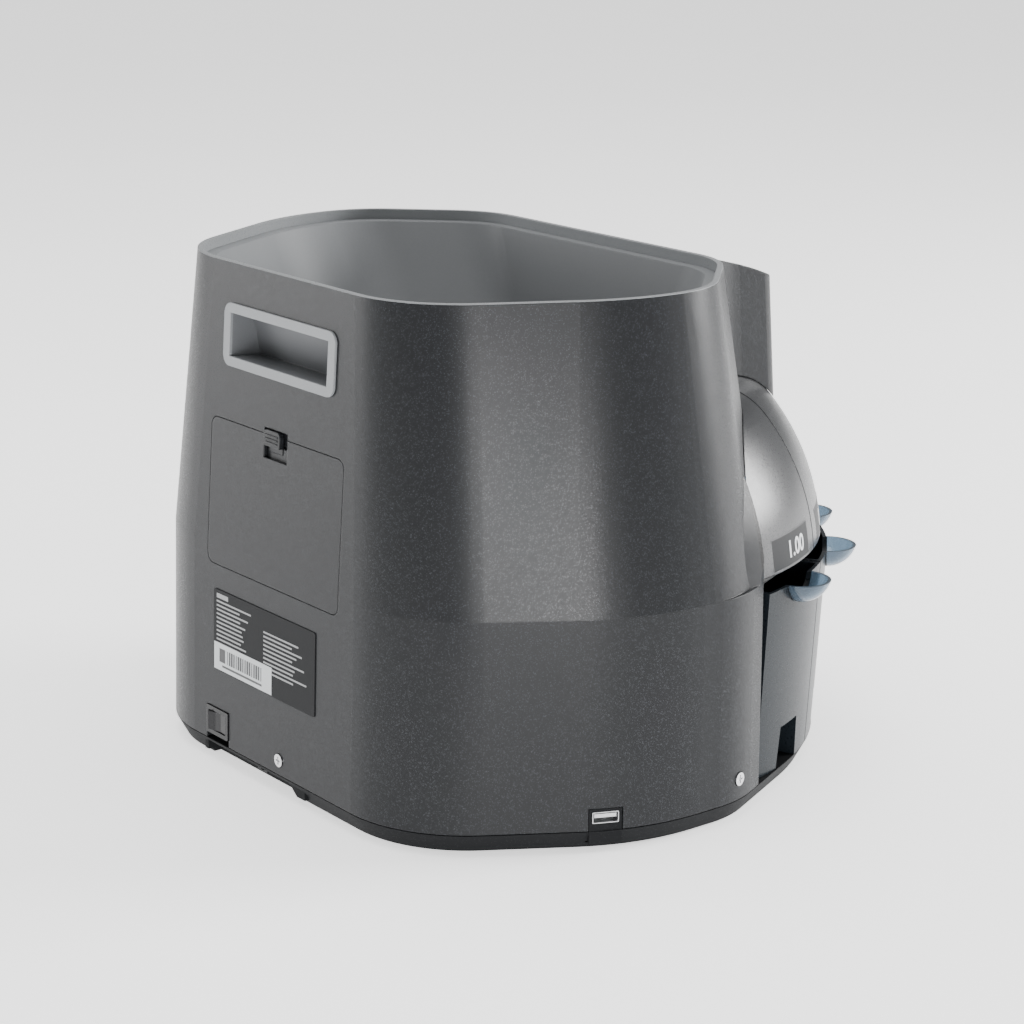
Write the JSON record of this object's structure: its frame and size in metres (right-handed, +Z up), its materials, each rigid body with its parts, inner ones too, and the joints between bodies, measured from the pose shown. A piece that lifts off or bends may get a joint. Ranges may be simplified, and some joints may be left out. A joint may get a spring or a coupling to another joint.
{
  "type": "desktop coin counter and sorter",
  "caption": "Desktop coin counting and sorting machine with a hopper on top, a keypad, a turning coin disc and pull-out coin bins round its front.",
  "frame": {"origin": "on the table, under the middle of the machine's box", "axes": "+Z up; the front with the bins and keys faces -Y; +X is to the right when seen from the front"},
  "size_m": [0.353, 0.3379, 0.264],
  "materials": {
    "case_plastic": "fine spark-eroded texture, charcoal",
    "base_plastic": "smoother, darker",
    "cover_plastic": "fine texture, charcoal",
    "number_plate": "printed with plain numbers",
    "bin_plastic": "smoky translucent",
    "bowl_plastic": "smooth",
    "trim_plastic": "light grey moulded trim",
    "inner_plastic": "plain moulded",
    "rubber": "soft",
    "steel": "brushed",
    "bright_steel": "plated",
    "label": "printed film",
    "board": "green laminate",
    "panel": "satin film",
    "lens": "tinted window",
    "key_plastic": "light grey",
    "start_plastic": "green",
    "black_plastic": "gloss black"
  },
  "bodies": {
    "case": {"base_pan": "base_plastic", "rubber_feet": "rubber", "case_screws": "bright_steel", "housing": "case_plastic", "front_cover": "cover_plastic", "number_plates": "number_plate", "bin_bay_wall": "inner_plastic", "hopper_bowl": "bowl_plastic", "sorting_deck": "steel", "coin_rail": "steel", "coin_sensor": "black_plastic", "disc_bearing": "steel", "drive_belt": "rubber", "motor": "steel", "motor_bracket": "steel", "main_board": "board", "power_supply": "steel", "power_jack": "black_plastic", "usb_socket": "bright_steel", "switch_body": "black_plastic", "rear_handle": "trim_plastic", "rating_plate": "label", "control_panel": "panel", "display_lens": "lens", "display_module": "black_plastic", "keypad_board": "board"},
    "disc": {"coin_disc": "inner_plastic", "disc_shaft": "bright_steel", "disc_pulley": "inner_plastic"},
    "drive": {"motor_shaft": "bright_steel", "motor_pulley": "steel"},
    "hatch": {"access_hatch": "case_plastic"},
    "latch": {"hatch_latch": "case_plastic"},
    "rocker": {"power_rocker": "black_plastic"},
    "bin_1": {"bin_1": "bin_plastic"},
    "bin_2": {"bin_2": "bin_plastic"},
    "bin_3": {"bin_3": "bin_plastic"},
    "bin_4": {"bin_4": "bin_plastic"},
    "bin_5": {"bin_5": "bin_plastic"},
    "bin_6": {"bin_6": "bin_plastic"},
    "bin_7": {"bin_7": "bin_plastic"},
    "key_1": {"key_1": "key_plastic"},
    "key_2": {"key_2": "key_plastic"},
    "key_3": {"key_3": "key_plastic"},
    "key_4": {"key_4": "key_plastic"},
    "key_5": {"key_5": "key_plastic"},
    "key_6": {"key_6": "key_plastic"},
    "key_7": {"key_7": "key_plastic"},
    "key_8": {"key_8": "key_plastic"},
    "start_key": {"start_key": "start_plastic"}
  },
  "joints": [
    {"name": "disc_spin", "type": "hinge", "parent": "case", "child": "disc", "pos_m": [0, 0.01605, 0.12], "axis": [0, 0, 1], "continuous": true},
    {"name": "motor_spin", "type": "hinge", "parent": "case", "child": "drive", "pos_m": [0, 0.11405, 0.105], "axis": [0, 0, 1], "continuous": true},
    {"name": "hatch_hinge", "type": "hinge", "parent": "case", "child": "hatch", "pos_m": [0, 0.16375, 0.10761], "axis": [-1, 0, 0], "range_deg": [0, 80]},
    {"name": "latch_slide", "type": "slide", "parent": "hatch", "child": "latch", "axis": [0, 0.0746, -0.9972], "range_m": [0, 0.003], "stiffness_N_per_m": 300, "springref_m": -0.0005},
    {"name": "rocker_tilt", "type": "hinge", "parent": "case", "child": "rocker", "pos_m": [0.05, 0.16364, 0.02209], "axis": [0, -0.0379, 0.9993], "range_deg": [0, 16]},
    {"name": "bin_1_slide", "type": "slide", "parent": "case", "child": "bin_1", "axis": [-0.9178, -0.3972, 0], "range_m": [0, 0.085]},
    {"name": "bin_2_slide", "type": "slide", "parent": "case", "child": "bin_2", "axis": [-0.6997, -0.7145, 0], "range_m": [0, 0.085]},
    {"name": "bin_3_slide", "type": "slide", "parent": "case", "child": "bin_3", "axis": [-0.3778, -0.9259, 0], "range_m": [0, 0.085]},
    {"name": "bin_4_slide", "type": "slide", "parent": "case", "child": "bin_4", "axis": [0, -1, 0], "range_m": [0, 0.085]},
    {"name": "bin_5_slide", "type": "slide", "parent": "case", "child": "bin_5", "axis": [0.3778, -0.9259, 0], "range_m": [0, 0.085]},
    {"name": "bin_6_slide", "type": "slide", "parent": "case", "child": "bin_6", "axis": [0.6997, -0.7145, 0], "range_m": [0, 0.085]},
    {"name": "bin_7_slide", "type": "slide", "parent": "case", "child": "bin_7", "axis": [0.9178, -0.3972, 0], "range_m": [0, 0.085]},
    {"name": "key_1_press", "type": "slide", "parent": "case", "child": "key_1", "axis": [0, 0.9971, -0.0767], "range_m": [0, 0.0012], "stiffness_N_per_m": 400, "springref_m": -0.0006},
    {"name": "key_2_press", "type": "slide", "parent": "case", "child": "key_2", "axis": [0, 0.9971, -0.0767], "range_m": [0, 0.0012], "stiffness_N_per_m": 400, "springref_m": -0.0006},
    {"name": "key_3_press", "type": "slide", "parent": "case", "child": "key_3", "axis": [0, 0.9971, -0.0767], "range_m": [0, 0.0012], "stiffness_N_per_m": 400, "springref_m": -0.0006},
    {"name": "key_4_press", "type": "slide", "parent": "case", "child": "key_4", "axis": [0, 0.9971, -0.0767], "range_m": [0, 0.0012], "stiffness_N_per_m": 400, "springref_m": -0.0006},
    {"name": "key_5_press", "type": "slide", "parent": "case", "child": "key_5", "axis": [0, 0.9971, -0.0767], "range_m": [0, 0.0012], "stiffness_N_per_m": 400, "springref_m": -0.0006},
    {"name": "key_6_press", "type": "slide", "parent": "case", "child": "key_6", "axis": [0, 0.9971, -0.0767], "range_m": [0, 0.0012], "stiffness_N_per_m": 400, "springref_m": -0.0006},
    {"name": "key_7_press", "type": "slide", "parent": "case", "child": "key_7", "axis": [0, 0.9971, -0.0767], "range_m": [0, 0.0012], "stiffness_N_per_m": 400, "springref_m": -0.0006},
    {"name": "key_8_press", "type": "slide", "parent": "case", "child": "key_8", "axis": [0, 0.9971, -0.0767], "range_m": [0, 0.0012], "stiffness_N_per_m": 400, "springref_m": -0.0006},
    {"name": "start_key_press", "type": "slide", "parent": "case", "child": "start_key", "axis": [0, 0.9971, -0.0767], "range_m": [0, 0.0012], "stiffness_N_per_m": 400, "springref_m": -0.0006}
  ],
  "couplings": [
    {"joint": "motor_spin", "follows": "disc_spin", "ratio": 4.1818}
  ]
}
